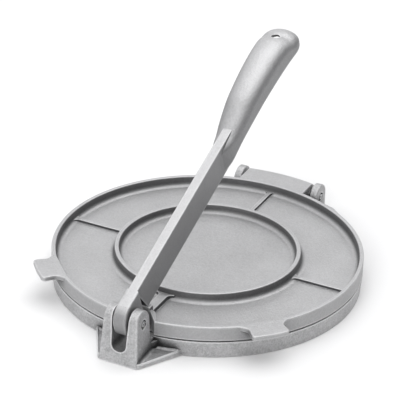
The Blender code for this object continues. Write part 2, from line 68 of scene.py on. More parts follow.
def softOutline(corners, closed=True, turnStep=9):
    # corners are (x, y, radius), and each radius becomes an arc that touches both sides
    points = []
    last = len(corners) - 1
    for index, (x, y, radius) in enumerate(corners):
        here = Vector((x, y))
        if radius == 0 or (not closed and index in (0, last)):
            points.append(here)
            continue
        before = (Vector(corners[index - 1][:2]) - here).normalized()
        after = (Vector(corners[(index + 1) % len(corners)][:2]) - here).normalized()
        half = before.angle(after) / 2
        centre = here + (before + after).normalized() * radius / math.sin(half)
        first = here + before * radius / math.tan(half) - centre
        second = here + after * radius / math.tan(half) - centre
        turn = math.atan2(first.x * second.y - first.y * second.x, first.dot(second))
        steps = max(2, round(abs(math.degrees(turn)) / turnStep))
        for step in range(steps + 1):
            angle = turn * step / steps
            spoke = Vector((first.x * math.cos(angle) - first.y * math.sin(angle),
                            first.x * math.sin(angle) + first.y * math.cos(angle)))
            points.append(centre + spoke)
    return points


def arc(radius, start, end, steps):
    # points about the plates' axis, with angles in degrees
    angles = [math.radians(start + (end - start) * step / steps) for step in range(steps + 1)]
    return [Vector((radius * math.cos(angle), radius * math.sin(angle))) for angle in angles]


def spaced(outline):
    # the same outline without points that fall on each other
    kept = []
    for place in outline:
        if not kept or math.dist(place[:2], kept[-1][:2]) > samePoint:
            kept.append(place)
    if math.dist(kept[0][:2], kept[-1][:2]) <= samePoint:
        kept.pop()
    return kept


def mirrored(corners):
    return corners + [(-x, y, radius) for x, y, radius in reversed(corners)]


def drawnPiece(name, outline, low, high, view=topView, edge=0.0, edgeSteps=3):
    # a flat curve with thickness and round edges, made a mesh
    curve = bpy.data.curves.new(name, "CURVE")
    curve.dimensions = "2D"
    curve.fill_mode = "BOTH"
    curve.extrude = (high - low) / 2 - edge
    curve.bevel_depth = edge
    curve.bevel_resolution = edgeSteps - 1
    curve.offset = -edge
    line = curve.splines.new("POLY")
    outline = spaced(outline)
    line.points.add(len(outline) - 1)
    for point, place in zip(line.points, outline):
        point.co = (place[0], place[1], 0, 1)
    line.use_cyclic_u = True
    piece = bpy.data.objects.new(name, curve)
    bpy.context.scene.collection.objects.link(piece)
    select(piece)
    bpy.ops.object.convert(target="MESH")
    piece = bpy.context.object
    piece.data.transform(view @ Matrix.Translation((0, 0, (low + high) / 2)))
    cleanMesh(piece)
    return piece


def turnedPiece(name, profile, sides):
    # a ring that is extruded and scaled from one point of the profile to the next
    bpy.ops.object.select_all(action="DESELECT")
    radius, height = profile[0]
    bpy.ops.mesh.primitive_circle_add(vertices=sides, radius=radius, location=(0, 0, height),
                                      rotation=(0, 0, ringTurn))
    piece = bpy.context.object
    piece.name = name
    bpy.ops.object.transform_apply(location=True, rotation=True)
    bpy.ops.object.mode_set(mode="EDIT")
    bpy.ops.mesh.select_all(action="SELECT")
    for nextRadius, nextHeight in profile[1:]:
        bpy.ops.mesh.extrude_edges_move(TRANSFORM_OT_translate={"value": (0, 0, nextHeight - height)})
        grow = nextRadius / radius
        bpy.ops.transform.resize(value=(grow, grow, 1), center_override=(0, 0, nextHeight))
        radius = nextRadius
        height = nextHeight
    bpy.ops.mesh.edge_face_add()
    bpy.ops.mesh.select_all(action="DESELECT")
    bpy.ops.mesh.select_non_manifold()
    bpy.ops.mesh.edge_face_add()
    bpy.ops.object.mode_set(mode="OBJECT")
    cleanMesh(piece)
    return piece


def rodPiece(name, radius, start, end, y, z, sides=50):
    bpy.ops.object.select_all(action="DESELECT")
    bpy.ops.mesh.primitive_cylinder_add(vertices=sides, radius=radius, depth=end - start,
                                        location=((start + end) / 2, y, z), rotation=(0, math.pi / 2, 0))
    piece = bpy.context.object
    piece.name = name
    bpy.ops.object.transform_apply(location=True, rotation=True)
    return piece


def blockPiece(name, low, high, edge=0.0, steps=3):
    # a block between two corners, with its edges bevelled
    bpy.ops.object.select_all(action="DESELECT")
    middle = [(a + b) / 2 for a, b in zip(low, high)]
    bpy.ops.mesh.primitive_cube_add(size=1, location=middle, scale=[b - a for a, b in zip(low, high)])
    piece = bpy.context.object
    piece.name = name
    bpy.ops.object.transform_apply(location=True, scale=True)
    if edge > 0:
        bpy.ops.object.mode_set(mode="EDIT")
        bpy.ops.mesh.select_all(action="SELECT")
        bpy.ops.mesh.bevel(offset=edge, segments=steps, affect="EDGES")
        bpy.ops.object.mode_set(mode="OBJECT")
    return piece


def join(piece, tool, operation):
    select(piece)
    step = piece.modifiers.new(tool.name, "BOOLEAN")
    step.operation = operation
    step.solver = "EXACT"
    step.object = tool
    bpy.ops.object.modifier_apply(modifier=step.name)
    bpy.data.objects.remove(tool)


def weld(piece, *tools):
    for tool in tools:
        join(piece, tool, "UNION")


def carve(piece, *tools):
    for tool in tools:
        join(piece, tool, "DIFFERENCE")


def finishPiece(piece, name, node, body, material, sharp=32):
    # smooth shading that keeps the flats flat, then the piece takes its place on its body
    piece.name = name
    piece.data.name = name
    cleanMesh(piece)
    piece.location.y += press["axisY"]
    select(piece)
    bpy.ops.object.transform_apply(location=True, rotation=True, scale=True)
    bpy.ops.object.shade_smooth_by_angle(angle=math.radians(sharp))
    piece.modifiers.new("evenNormals", "WEIGHTED_NORMAL").keep_sharp = True
    bpy.ops.object.modifier_apply(modifier="evenNormals")
    piece.data.materials.clear()
    piece.data.materials.append(material)
    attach(piece, body)
    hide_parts(node)
    print("finished", name, len(piece.data.polygons), "faces")


# sizes that several pieces share, in metres
press = {
    "axisY": 0.00085,  # the plates' axis, from the middle of the press
    "lidRadius": 0.1016,
    "lidUnder": 0.0123,
    "lidTop": 0.022,
    "pinRadius": 0.0022,
    "boreRadius": 0.0031,
    "leverPinY": -0.1132,
    "leverPinZ": 0.026,
    "hingeY": 0.114,
    "hingeZ": 0.014,
    "ringInner": 0.057912,
    "ringOuter": 0.060712,
    "edge": 0.0008,
    "draft": 0.0009,
    "ribEdge": 0.0005,
    "ribPast": 0.002,  # how far a rib runs into the walls at its ends
    "coreRadius": 0.03,  # where the turned outlines start: one flat face closes the middle
    "sides": 240,
}

lidParts = {
    "floor": 0.0154,
    "centreFloor": 0.0162,
    "rimWidth": 0.0027,
    "fillet": 0.0034,
    "seamEdge": 0.0004,
    "ribHalfWidth": 0.0015,
    "ribFlare": 0.0034,
    "ribHeight": 0.0017,
    "frontRibHalfWidth": 0.0032,
    "frontRibHeight": 0.0029,
    "tabAngle": 46,
    "tabHalfAngle": 6.2,
    "tabRootHalfAngle": 9.5,
    "tabSink": 0.0023,
    "tabReach": 0.0131,
    "tabThickness": 0.0032,
    "tabNeck": 0.003,
    "tabFillet": 0.005,
    "tabCorner": 0.0025,
    "notchMouth": 0.0134,
    "notchEnd": 0.0048,
    "notchEndY": -0.09103,
    "notchWall": 0.0025,
    "notchRound": 0.0025,
    "padTop": 0.02407,
    "padLength": 0.005,
    "padHalfWidth": 0.0045,
    "wingHalfWidth": 0.024,
    "wingRadius": 0.118,
    "wingThickness": 0.0032,
    "wingDrop": 0.0001,
    "wingSteps": 24,
    "lipThickness": 0.0026,
    "lipDepth": 0.006,
    "lipInset": 0.00005,
    "lipSink": 0.0012,
    "lugWidth": 0.0045,
    "lugRadius": 0.0072,
    "lugInset": 0.0003,
    "lugEdge": 0.0006,
    "lugSteps": 36,
    "lugBoreReach": 0.03,
    "smallEdge": 0.0007,
}


def ribPiece(name, angle, start, end, halfWidth, flare, low, high):
    # a straight rib whose ends spread into the walls
    wide = halfWidth + flare
    past = press["ribPast"]
    corners = [(start - past, -wide, 0), (start, -wide, 0), (start, -halfWidth, flare),
               (end, -halfWidth, flare), (end, -wide, 0), (end + past, -wide, 0)]
    corners += [(x, -y, radius) for x, y, radius in reversed(corners)]
    rib = drawnPiece(name, softOutline(corners), low, high, edge=press["ribEdge"])
    rib.data.transform(Matrix.Rotation(math.radians(angle), 4, "Z"))
    return rib


def tabPiece(name, side, s):
    # a lifting tab at the rim
    middle = -90 + side * s["tabAngle"]
    rim = press["lidRadius"]
    tip = rim + s["tabReach"]
    half = s["tabHalfAngle"]
    root = s["tabRootHalfAngle"]
    places = [(-root, rim - s["tabSink"], 0), (-root, rim - press["edge"], 0),
              (-half, rim + s["tabNeck"], s["tabFillet"]),
              (-half, tip, s["tabCorner"]), (0, tip, tip / 2)]
    places += [(-angle, radius, rounding) for angle, radius, rounding in reversed(places[:-1])]
    corners = []
    for angle, radius, rounding in places:
        turn = math.radians(middle + angle)
        corners.append((radius * math.cos(turn), radius * math.sin(turn), rounding))
    top = press["lidTop"] - faceStep
    return drawnPiece(name, softOutline(corners), top - s["tabThickness"], top, edge=s["smallEdge"])


def notchShape(s, wall):
    # the notch runs out past the rim, and its wall ends inside it
    mouthY = -press["lidRadius"] - toolReach
    if wall > 0:
        mouthY = s["rimWidth"] - press["lidRadius"]
    slope = (s["notchMouth"] - s["notchEnd"]) / (press["lidRadius"] + s["notchEndY"])
    spread = slope * (-press["lidRadius"] - mouthY)
    return softOutline(mirrored([
        (s["notchEnd"] + wall, s["notchEndY"] + wall, s["notchRound"] + wall),
        (s["notchMouth"] + wall + spread, mouthY, 0),
    ]))


def lugPiece(name, side, s):
    # a hinge lug under the wing, drawn from the side
    rootY = math.sqrt((press["lidRadius"] - s["rimWidth"] / 2) ** 2 - s["wingHalfWidth"] ** 2)
    low = press["lidUnder"] + press["edge"]
    y = press["hingeY"]
    z = press["hingeZ"]
    r = s["lugRadius"]
    end = -180 - math.degrees(math.asin((low - z) / r))
    boss = [place + Vector((y, z)) for place in arc(r, 90, end, s["lugSteps"])]
    outline = [(rootY, low), (rootY, z + r)] + boss
    inner = side * (s["wingHalfWidth"] - s["lugWidth"])
    outer = side * (s["wingHalfWidth"] - s["lugInset"])
    return drawnPiece(name, outline, min(inner, outer), max(inner, outer), sideView, s["lugEdge"])


def makeLid(s, material):
    edge = press["edge"]
    draft = press["draft"]
    top = press["lidTop"]
    rimInner = press["lidRadius"] - s["rimWidth"]
    profile = softOutline([
        (press["coreRadius"], s["centreFloor"], 0),
        (press["ringInner"] - draft, s["centreFloor"], s["fillet"]),
        (press["ringInner"], top, edge),
        (press["ringOuter"], top, edge),
        (press["ringOuter"] + draft, s["floor"], s["fillet"]),
        (rimInner - draft, s["floor"], s["fillet"]),
        (rimInner, top, edge),
        (press["lidRadius"], top, edge),
        (press["lidRadius"], press["lidUnder"], s["seamEdge"]),
        (press["coreRadius"], press["lidUnder"], 0),
    ], closed=False, turnStep=12)
    lid = turnedPiece("lidPlate", profile, press["sides"])
    start = press["ringOuter"] + draft
    for name, angle in (("ribRight", 0), ("ribRear", 90), ("ribLeft", 180)):
        weld(lid, ribPiece(name, angle, start, rimInner - draft, s["ribHalfWidth"],
                           s["ribFlare"], s["floor"] - sink, s["floor"] + s["ribHeight"]))
    weld(lid, ribPiece("ribFront", -90, start, -s["notchEndY"] - s["notchWall"], s["frontRibHalfWidth"],
                       s["ribFlare"], s["floor"] - sink, s["floor"] + s["frontRibHeight"]))
    print("lid plate and ribs made")
    weld(lid, tabPiece("tabLeft", -1, s), tabPiece("tabRight", 1, s))
    half = math.degrees(math.asin(s["wingHalfWidth"] / s["wingRadius"]))
    rimMiddle = press["lidRadius"] - s["rimWidth"] / 2
    rootHalf = math.degrees(math.asin(s["wingHalfWidth"] / rimMiddle))
    steps = s["wingSteps"]
    wing = arc(s["wingRadius"], 90 - half, 90 + half, steps)
    wing += arc(rimMiddle, 90 + rootHalf, 90 - rootHalf, steps)
    weld(lid, drawnPiece("wing", wing, top - s["wingThickness"], top - s["wingDrop"], edge=s["smallEdge"]))
    lip = arc(s["wingRadius"] - s["lipInset"], 90 - half, 90 + half, steps)
    lip += arc(s["wingRadius"] - s["lipThickness"], 90 + half, 90 - half, steps)
    weld(lid, drawnPiece("wingLip", lip, top - s["lipDepth"], top - s["lipSink"], edge=s["lugEdge"]))
    weld(lid, lugPiece("lugLeft", -1, s), lugPiece("lugRight", 1, s))
    weld(lid, drawnPiece("notchWall", notchShape(s, s["notchWall"]), press["lidUnder"] + edge,
                         top - faceStep, edge=s["smallEdge"]))
    weld(lid, blockPiece("pad", (-s["padHalfWidth"], s["notchEndY"] - sink, s["floor"] - sink),
                         (s["padHalfWidth"], s["notchEndY"] + s["padLength"], s["padTop"]), s["smallEdge"]))
    carve(lid, drawnPiece("notch", notchShape(s, 0), press["lidUnder"] - toolReach,
                          s["padTop"] + toolReach))
    reach = s["lugBoreReach"]
    carve(lid, rodPiece("lugBore", press["boreRadius"], -reach, reach, press["hingeY"], press["hingeZ"]))
    finishPiece(lid, "lidPlate", "lid_plate", "lid", material)


baseParts = {
    "topRadius": 0.10171,
    "seamReach": 0.004,
    "seamDrop": 0.0006,
    "seamEdge": 0.0004,
    "footRadius": 0.1008,
    "top": 0.012,
    "plate": 0.0035,
    "skirt": 0.003,
    "ringFoot": 0.001,
    "ribDepth": 0.003,
    "ribHalfWidth": 0.0015,
    "ribFlare": 0.003,
    "fillet": 0.002,
    "forkFootY": -0.1244,
    "forkLean": 0.0036,
    "forkRearY": -0.105,
    "forkTop": 0.0353,
    "forkFootHalfWidth": 0.0132,
    "forkTopHalfWidth": 0.0113,
    "forkFrontRound": 0.0064,
    "forkRearRound": 0.0092,
    "forkEdge": 0.0011,
    "webDrop": 0.001,
    "slotHalfWidth": 0.0048,
    "slotFlare": 0.0012,
    "slotFloor": 0.0085,
    "slotRear": 0.0963,  # both in front of the plates' axis
    "slotFront": 0.126,
    "gussetReachX": 0.0299,
    "gussetFrontX": 0.014,
    "gussetFrontRound": 0.001,
    "gussetSetIn": 0.0006,
    "gussetHeight": 0.0035,
    "gussetEdge": 0.0005,
    "gussetLip": 0.0009,
    "gussetSetBack": 0.002,  # from the front corner to the turn of the inner outline
    "gussetCorner": 0.0009,
    "gussetRecess": 0.0009,
    "gussetRise": 0.0010,
    "slopeAbove": 0.0009,
    "recessPast": 0.0003,
    "recessTool": 0.004,
    "recessEdge": 0.0004,
    "gussetSweep": 0.0025,
    "sweepInner": 0.09,
    "sweepFoot": 0.0012,
    "sweepPast": 0.0004,
    "sweepRear": 0.0997,  # both in front of the plates' axis
    "sweepFront": 0.1225,
    # what trims each sweep: share of the lip, step away from the fork's middle, lowest height
    "skirtTrim": (0.6, 0.0004, 0.0005),
    "forkTrim": (0.5, 0.0006, 0.0004),
    "trimTop": 0.01,
    "webFrontY": -0.106,
    "webTurn": (0.0122, -0.1056),
    "webTip": (0.0152, -0.1001),
    "webRearY": -0.098,
    "webLow": 0.001,
    "webTop": 0.0088,
    "webEdge": 0.00025,
    "earInnerX": 0.026,
    "earOuterX": 0.0314,
    "earRadius": 0.0087,
    "earFoot": 0.0006,
    "earFootRound": 0.0015,
    "earSink": 0.0004,
    "earFillet": 0.003,
    "earEdge": 0.001,
    "flangeTop": 0.0112,
    "flangeRadius": 0.1168,
    "flangeFull": 22,
    "flangeEnd": 48,
    "flangeBlend": 1.2,
    "flangeSetIn": 0.0003,
    "flangeRoot": 0.0026,
    "flangeSteps": 24,
    "pocketRadius": 0.00974,
    "pocketSides": 96,
    "footLift": 0.0001,  # the welded pieces end this far above the skirt's foot
    "forkBoreReach": 0.015,
    "earBoreReach": 0.034,
}


def forkPiece(s):
    # both ears as one block, drawn from the side and narrower at the top
    skirtMiddle = s["footRadius"] - s["skirt"] / 2
    webTop = s["top"] - s["webDrop"]
    outline = softOutline([
        (s["forkFootY"], 0, 0),
        (s["forkFootY"] + s["forkLean"], s["forkTop"], s["forkFrontRound"]),
        (s["forkRearY"], s["forkTop"], s["forkRearRound"]),
        (s["forkRearY"], webTop, s["fillet"]),
        (-skirtMiddle, webTop, 0),
        (-skirtMiddle, 0, 0),
    ])
    half = s["forkFootHalfWidth"]
    fork = drawnPiece("fork", outline, -half, half, sideView, s["forkEdge"], edgeSteps=4)
    for vertex in fork.data.vertices:
        vertex.co.x *= 1 - (half - s["forkTopHalfWidth"]) / half * vertex.co.z / s["forkTop"]
    slot = softOutline(mirrored([
        (s["slotHalfWidth"], s["slotFloor"], s["slotHalfWidth"]),
        (s["slotHalfWidth"] + s["slotFlare"], s["forkTop"] + toolReach, 0),
    ]))
    carve(fork, drawnPiece("slot", slot, s["slotRear"], s["slotFront"], frontView))
    return fork


def gussetInside(side, s, lip, innerX):
    # the gusset's outline less a lip along its open edges
    front = s["forkFootY"]
    reachX = s["gussetReachX"]
    reachY = -math.sqrt(s["footRadius"] ** 2 - reachX ** 2)
    run = Vector((reachX - s["gussetFrontX"], reachY - front)).normalized()
    start = Vector((s["gussetFrontX"], front)) + Vector((-run.y, run.x)) * lip
    # where the inset edge meets the skirt
    meetRadius = s["footRadius"] + 2 * clear
    along = -start.dot(run) - math.sqrt(start.dot(run) ** 2 - start.length_squared + meetRadius ** 2)
    meet = start + run * along
    setBack = s["gussetSetBack"]
    corner = s["gussetCorner"]
    inside = [(innerX, start.y + lip, 0), (start.x + run.x * setBack, start.y + run.y * setBack, corner),
              (meet.x, meet.y, corner), (innerX, -s["footRadius"], 0)]
    return softOutline([(side * x, y, r) for x, y, r in inside])


def slopeUp(piece, s):
    # the gussets rise from the front towards the skirt
    front = s["forkFootY"]
    run = s["skirt"] / 2 - s["footRadius"] - front
    for vertex in piece.data.vertices:
        if vertex.co.z > s["slopeAbove"]:
            vertex.co.z += s["gussetRise"] * (vertex.co.y - front) / run
    return piece


def gussetPiece(name, side, s):
    # a low triangular foot, sunk behind a lip
    skirtMiddle = s["footRadius"] - s["skirt"] / 2
    front = s["forkFootY"] + s["gussetSetIn"]
    reachX = s["gussetReachX"]
    innerX = s["forkTopHalfWidth"] - s["forkEdge"]
    corners = [(innerX, front, 0), (s["gussetFrontX"], front, s["gussetFrontRound"]),
               (reachX, -math.sqrt(s["footRadius"] ** 2 - reachX ** 2), 0),
               (reachX, -math.sqrt(skirtMiddle ** 2 - reachX ** 2), 0), (innerX, -skirtMiddle, 0)]
    outline = softOutline([(side * x, y, r) for x, y, r in corners])
    foot = drawnPiece(name, outline, s["footLift"], s["gussetHeight"], edge=s["gussetEdge"])
    inside = gussetInside(side, s, s["gussetLip"], innerX - s["recessPast"])
    carve(foot, drawnPiece(name + "Recess", inside, s["gussetHeight"] - s["gussetRecess"],
                           s["gussetHeight"] + s["recessTool"], edge=s["recessEdge"]))
    return slopeUp(foot, s)


def trimPiece(name, side, s, trim):
    # a sweep stays within the gusset's own outline
    share, inset, low = trim
    innerX = s["forkTopHalfWidth"] - s["forkEdge"]
    outline = gussetInside(side, s, s["gussetLip"] * share, innerX + inset)
    return drawnPiece(name, outline, low, s["trimTop"])


def sweepPieces(side, s):
    # rounded sweeps from the gusset up to the skirt and to the fork, and a small web behind the ear
    # every face keeps a small step from its neighbours, which the Booleans need
    low = s["gussetHeight"] - s["gussetRecess"] - clear
    rise = s["gussetSweep"]
    foothold = s["sweepFoot"]
    skirtTop = low + rise + clear
    reach = s["footRadius"] + rise + toolReach
    profile = softOutline([
        (s["sweepInner"], foothold, 0),
        (reach, foothold, 0),
        (reach, low, 0),
        (s["footRadius"], low, rise),
        (s["footRadius"] + clear, skirtTop, 0),
        (s["sweepInner"], skirtTop, 0),
    ], closed=False)
    toSkirt = turnedPiece("sweepToSkirt", profile, press["sides"])
    join(toSkirt, trimPiece("skirtReach", side, s, s["skirtTrim"]), "INTERSECT")
    foothold += clear
    forkTop = low + rise + 2 * clear
    innerX = s["forkTopHalfWidth"] - s["forkEdge"]
    sideX = s["forkFootHalfWidth"] - 2 * clear
    reach = sideX + rise + s["sweepPast"]
    strip = softOutline([
        (innerX, foothold, 0),
        (reach, foothold, 0),
        (reach, low, 0),
        (sideX, low, rise),
        (sideX - clear, forkTop, 0),
        (innerX, forkTop, 0),
    ])
    strip = [(side * x, z) for x, z in strip]
    toFork = drawnPiece("sweepToFork", strip, s["sweepRear"], s["sweepFront"], frontView)
    join(toFork, trimPiece("forkReach", side, s, s["forkTrim"]), "INTERSECT")
    web = [(innerX, s["webFrontY"]), s["webTurn"], s["webTip"], (innerX, s["webRearY"])]
    web = [(side * x, y) for x, y in web]
    web = drawnPiece("cornerWeb", web, s["webLow"], s["webTop"], edge=s["webEdge"])
    return [slopeUp(toSkirt, s), slopeUp(toFork, s), web]


def flangePiece(s):
    # the base spreads out behind to carry the hinge ears
    first = s["footRadius"] - s["flangeSetIn"]
    steps = s["flangeSteps"]
    right = []
    for step in range(steps + 1):
        share = step / steps
        angle = math.radians(s["flangeEnd"] + (s["flangeFull"] - s["flangeEnd"]) * share)
        radius = first + (s["flangeRadius"] - first) * share
        right.append(Vector((radius * math.sin(angle), radius * math.cos(angle))))
    right += arc(s["flangeRadius"], 90 - s["flangeFull"] + s["flangeBlend"], 90, steps // 2)
    left = [Vector((-place.x, place.y)) for place in reversed(right[:-1])]
    inner = arc(s["footRadius"] - s["flangeRoot"], 90 + s["flangeEnd"], 90 - s["flangeEnd"], 2 * steps)
    flange = drawnPiece("flange", right + left + inner, s["footLift"], s["flangeTop"], edge=press["edge"])
    # room for the lid's lugs
    reach = s["earInnerX"]
    carve(flange, rodPiece("pocket", s["pocketRadius"], -reach, reach, press["hingeY"], press["hingeZ"],
                           s["pocketSides"]))
    return flange


def earPiece(name, side, s):
    # a hinge ear, drawn from the side
    skirtMiddle = s["footRadius"] - s["skirt"] / 2
    rootY = math.sqrt(skirtMiddle ** 2 - s["earOuterX"] ** 2)
    rootTop = s["flangeTop"] - s["earSink"]
    y = press["hingeY"]
    top = press["hingeZ"] + s["earRadius"]
    r = s["earRadius"]
    outline = softOutline([(rootY, s["earFoot"], 0), (rootY, rootTop, 0), (y - r, rootTop, s["earFillet"]),
                           (y - r, top, r), (y + r, top, r), (y + r, s["earFoot"], s["earFootRound"])])
    inner = side * s["earInnerX"]
    outer = side * s["earOuterX"]
    return drawnPiece(name, outline, min(inner, outer), max(inner, outer), sideView, s["earEdge"])


def makeBase(s, material):
    edge = press["edge"]
    draft = press["draft"]
    under = s["top"] - s["plate"]
    innerFoot = s["footRadius"] - s["skirt"]
    seamStart = s["topRadius"] - s["seamReach"]
    profile = softOutline([
        (press["coreRadius"], s["top"], 0),
        (seamStart, s["top"], 0),
        (seamStart, s["top"] - s["seamDrop"], 0),
        (s["topRadius"], s["top"] - s["seamDrop"], s["seamEdge"]),
        (s["footRadius"], 0, edge),
        (innerFoot, 0, edge),
        (innerFoot - draft, under, s["fillet"]),
        (press["ringOuter"] + draft, under, s["fillet"]),
        (press["ringOuter"], s["ringFoot"], edge),
        (press["ringInner"], s["ringFoot"], edge),
        (press["ringInner"] - draft, under, s["fillet"]),
        (press["coreRadius"], under, 0),
    ], closed=False, turnStep=15)
    base = turnedPiece("basePlate", profile, press["sides"])
    for quarter in range(4):
        weld(base, ribPiece("underRib%d" % quarter, 90 * quarter, press["ringOuter"] + draft,
                            innerFoot - draft, s["ribHalfWidth"], s["ribFlare"],
                            under - s["ribDepth"], under + sink))
    print("base plate and ribs made")
    weld(base, flangePiece(s))
    weld(base, earPiece("earLeft", -1, s), earPiece("earRight", 1, s))
    weld(base, gussetPiece("gussetLeft", -1, s), gussetPiece("gussetRight", 1, s))
    weld(base, forkPiece(s))
    weld(base, *sweepPieces(-1, s), *sweepPieces(1, s))
    for name, reach, y, z in (("forkBore", s["forkBoreReach"], press["leverPinY"], press["leverPinZ"]),
                              ("earBore", s["earBoreReach"], press["hingeY"], press["hingeZ"])):
        carve(base, rodPiece(name, press["boreRadius"], -reach, reach, y, z))
    finishPiece(base, "basePlate", "base_plate", "base", material)


leverParts = {
    "pitch": 22.65,
    "barHalfWidth": 0.00315,
    "barTop": 0.013,
    "barBottom": 0.0102,
    "barEdge": 0.0005,
    "heel": 0.0202,
    "heelRound": 0.001,
    "neck": 0.0072,
    "hubHalfWidth": 0.0044,
    "hubRadius": 0.0093,
    "hubRear": 0.0137,
    "hubRearRound": 0.002,
    "hubNose": 0.0105,
    "hubEdge": 0.0012,
    "sweepStart": 0.153,
    "sweepRound": 0.02,
    "webEnd": 0.188,
    "gripStart": 0.134,
    "gripLength": 0.1176,
    "gripHalfWidth": 0.013,
    "gripTop": 0.0253,
    "gripLow": 0.008,
    "gripWall": 0.0018,
    "crownShare": 0.72,
    # each row: its place, half width, top and lower edge,
    # as shares of gripLength, gripHalfWidth, gripTop and gripLow
    "gripStations": (
        (0.000, 0.22, 0.36, -1.05),
        (0.070, 0.47, 0.43, -0.60),
        (0.136, 0.58, 0.49, -0.11),
        (0.195, 0.67, 0.59, 0.31),
        (0.263, 0.73, 0.715, 0.56),
        (0.347, 0.77, 0.86, 0.74),
        (0.449, 0.81, 0.94, 0.90),
        (0.559, 0.86, 0.985, 1.00),
        (0.669, 0.89, 1.00, 1.00),
        (0.771, 0.93, 0.96, 0.97),
        (0.822, 0.97, 0.89, 0.96),
        (0.864, 1.00, 0.785, 0.95),
    ),
    "hollowShare": 0.195,
    "tipTopShare": 0.10,
    "tipLowShare": 0.15,
    "tipTurn": 86,
    "tipSteps": 16,
    "holeAlong": 0.2332,
    "holeRadius": 0.0029,
    "holeDepth": 0.04,
    "holeSides": 40,
}


def gripStations(s, perRow=4):
    # the rows joined by smooth curves, then a rounded tip
    rows = s["gripStations"]
    slopes = []
    for index in range(len(rows)):
        before = rows[max(0, index - 1)]
        after = rows[min(len(rows) - 1, index + 1)]
        slopes.append([(b - a) / (after[0] - before[0]) for a, b in zip(before, after)])
    shares = []
    for index in range(len(rows) - 1):
        gap = rows[index + 1][0] - rows[index][0]
        for step in range(perRow):
            t = step / perRow
            row = []
            for a, b, c, d in zip(rows[index], rows[index + 1], slopes[index], slopes[index + 1]):
                row.append((2 * t ** 3 - 3 * t ** 2 + 1) * a + (t ** 3 - 2 * t ** 2 + t) * gap * c
                           + (3 * t ** 2 - 2 * t ** 3) * b + (t ** 3 - t ** 2) * gap * d)
            shares.append(row)
    shares.append(rows[-1])
    stations = [(s["gripStart"] + a * s["gripLength"], b * s["gripHalfWidth"],
                 c * s["gripTop"], d * s["gripLow"]) for a, b, c, d in shares]
    start, width, top, low = stations[-1]
    length = s["gripStart"] + s["gripLength"] - start
    for step in range(1, s["tipSteps"] + 1):
        angle = math.radians(s["tipTurn"]) * step / s["tipSteps"]
        shrink = math.cos(angle)
        stations.append((start + length * math.sin(angle), width * shrink,
                         top * (s["tipTopShare"] + (1 - s["tipTopShare"]) * shrink),
                         low * (s["tipLowShare"] + (1 - s["tipLowShare"]) * shrink)))
    return stations


def gripSection(s, width, top, low, steps=32):
    # upright walls under a rounded crown
    crown = min(width, top - low) * s["crownShare"]
    points = [(-width, low)]
    for step in range(steps + 1):
        angle = math.pi * (1 - step / steps)
        points.append((width * math.cos(angle), top - crown + crown * math.sin(angle)))
    points.append((width, low))
    return points


def skinPiece(name, sections):
    # sections are (place along, points across), all with as many points
    count = len(sections[0][1])
    points = [(x, along, height) for along, outline in sections for x, height in outline]
    faces = []
    for row in range(len(sections) - 1):
        here = row * count
        beyond = here + count
        for index in range(count):
            after = (index + 1) % count
            faces.append((here + index, here + after, beyond + after, beyond + index))
    faces.append(tuple(range(count)))
    faces.append(tuple((len(sections) - 1) * count + index for index in range(count)))
    mesh = bpy.data.meshes.new(name)
    mesh.from_pydata(points, [], faces)
    piece = bpy.data.objects.new(name, mesh)
    bpy.context.scene.collection.objects.link(piece)
    cleanMesh(piece)
    return piece


def makeLever(s, material):
    bar = drawnPiece("lever", softOutline([
        (0, s["barTop"], 0),
        (0, s["neck"], 0),
        (s["hubRear"], s["neck"], 0),
        (s["heel"], -s["barBottom"], s["heelRound"]),
        (s["sweepStart"], -s["barBottom"], s["sweepRound"]),
        (s["webEnd"], s["neck"], 0),
        (s["webEnd"], s["barTop"], 0),
    ]), -s["barHalfWidth"], s["barHalfWidth"], sideView, s["barEdge"])
    hub = drawnPiece("hub", softOutline([
        (-s["hubRadius"], s["barTop"], s["hubNose"]),
        (-s["hubRadius"], -s["hubRadius"], s["hubRadius"]),
        (s["hubRear"], -s["hubRadius"], s["hubRearRound"]),
        (s["hubRear"], s["barTop"] - samePoint, 0),
    ]), -s["hubHalfWidth"], s["hubHalfWidth"], sideView, s["hubEdge"], edgeSteps=4)
    weld(bar, hub)
    stations = gripStations(s)
    shell = skinPiece("grip", [(a, gripSection(s, b, c, d)) for a, b, c, d in stations])
    # the hollow starts at its own station, and ends where the tip gets too narrow
    hollowStart = s["gripStart"] + s["hollowShare"] * s["gripLength"] - clear
    wall = s["gripWall"]
    inner = [(a, gripSection(s, b - wall, c - wall, d - toolReach)) for a, b, c, d in stations
             if a >= hollowStart and b >= 2 * wall]
    carve(shell, skinPiece("gripHollow", inner))
    print("grip shell made")
    weld(bar, shell)
    reach = s["hubHalfWidth"] + toolReach
    carve(bar, rodPiece("hubBore", press["boreRadius"], -reach, reach, 0, 0))
    bpy.ops.object.select_all(action="DESELECT")
    bpy.ops.mesh.primitive_cylinder_add(vertices=s["holeSides"], radius=s["holeRadius"],
                                        depth=s["holeDepth"], location=(0, s["holeAlong"], s["gripTop"]))
    hole = bpy.context.object
    hole.name = "hangingHole"
    bpy.ops.object.transform_apply(location=True)
    carve(bar, hole)
    bar.rotation_euler.x = math.radians(s["pitch"])
    bar.location = (0, press["leverPinY"], press["leverPinZ"])
    finishPiece(bar, "leverArm", "lever", "lever", material)


pinParts = {
    "turns": 1.35,
    "sheetShare": 0.24,
    "gapShare": 0.2,
    "stepsPerTurn": 30,
    "proud": 0.0002,  # how far the ends stand out of the castings
    "edge": 0.0002,
}


